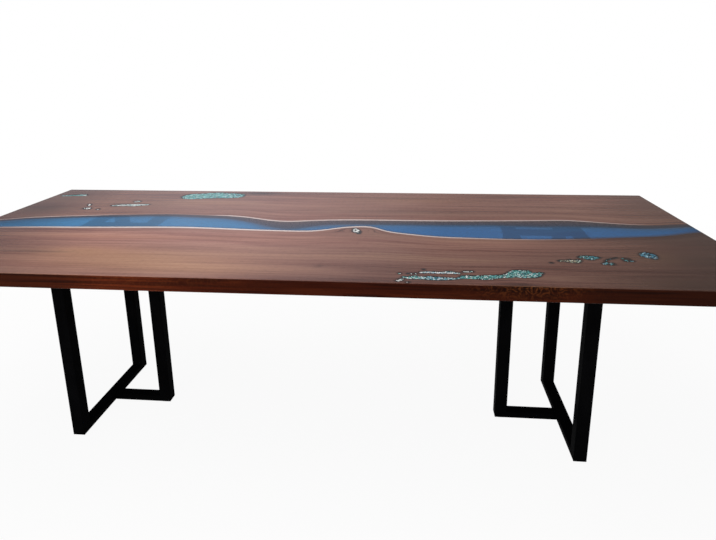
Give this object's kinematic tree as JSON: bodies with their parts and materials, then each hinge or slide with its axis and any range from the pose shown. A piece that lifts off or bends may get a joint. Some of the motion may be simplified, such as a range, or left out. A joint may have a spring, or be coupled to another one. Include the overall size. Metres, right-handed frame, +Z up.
{
  "type": "river table",
  "caption": "Rectangular dining table of live-edge walnut slabs joined by a blue resin river, with turquoise stone fills, on welded black steel T-legs.",
  "frame": {"origin": "on the floor, under the centre of the top", "axes": "+X along the table, +Y from the near long edge to the far one, +Z up"},
  "size_m": [2.64, 1.066, 0.762],
  "materials": {
    "walnut": "satin",
    "river_resin": "gloss",
    "stone_fill": "gloss",
    "black_steel": "satin",
    "bolt_steel": "satin",
    "insert_brass": "satin",
    "glide_pad": "matte"
  },
  "bodies": {
    "root": {"front_slab": "walnut", "rear_slab": "walnut", "river_resin": "river_resin", "long_crack_fill": "stone_fill", "right_knot_fills": "stone_fill", "edge_knot_fill": "stone_fill", "rear_pocket_fill": "stone_fill", "rear_streak_fill": "stone_fill", "rear_corner_fills": "stone_fill", "left_front_upright": "black_steel", "left_rear_upright": "black_steel", "left_inner_upright": "black_steel", "left_cross_foot": "black_steel", "left_stub_foot": "black_steel", "left_outer_top_bar": "black_steel", "left_inner_top_bar": "black_steel", "left_link_bar": "black_steel", "left_leg_bolts": "bolt_steel", "left_leg_washers": "bolt_steel", "left_leg_inserts": "insert_brass", "left_foot_glides": "glide_pad", "right_front_upright": "black_steel", "right_rear_upright": "black_steel", "right_inner_upright": "black_steel", "right_cross_foot": "black_steel", "right_stub_foot": "black_steel", "right_outer_top_bar": "black_steel", "right_inner_top_bar": "black_steel", "right_link_bar": "black_steel", "right_leg_bolts": "bolt_steel", "right_leg_washers": "bolt_steel", "right_leg_inserts": "insert_brass", "right_foot_glides": "glide_pad"}
  },
  "joints": []
}
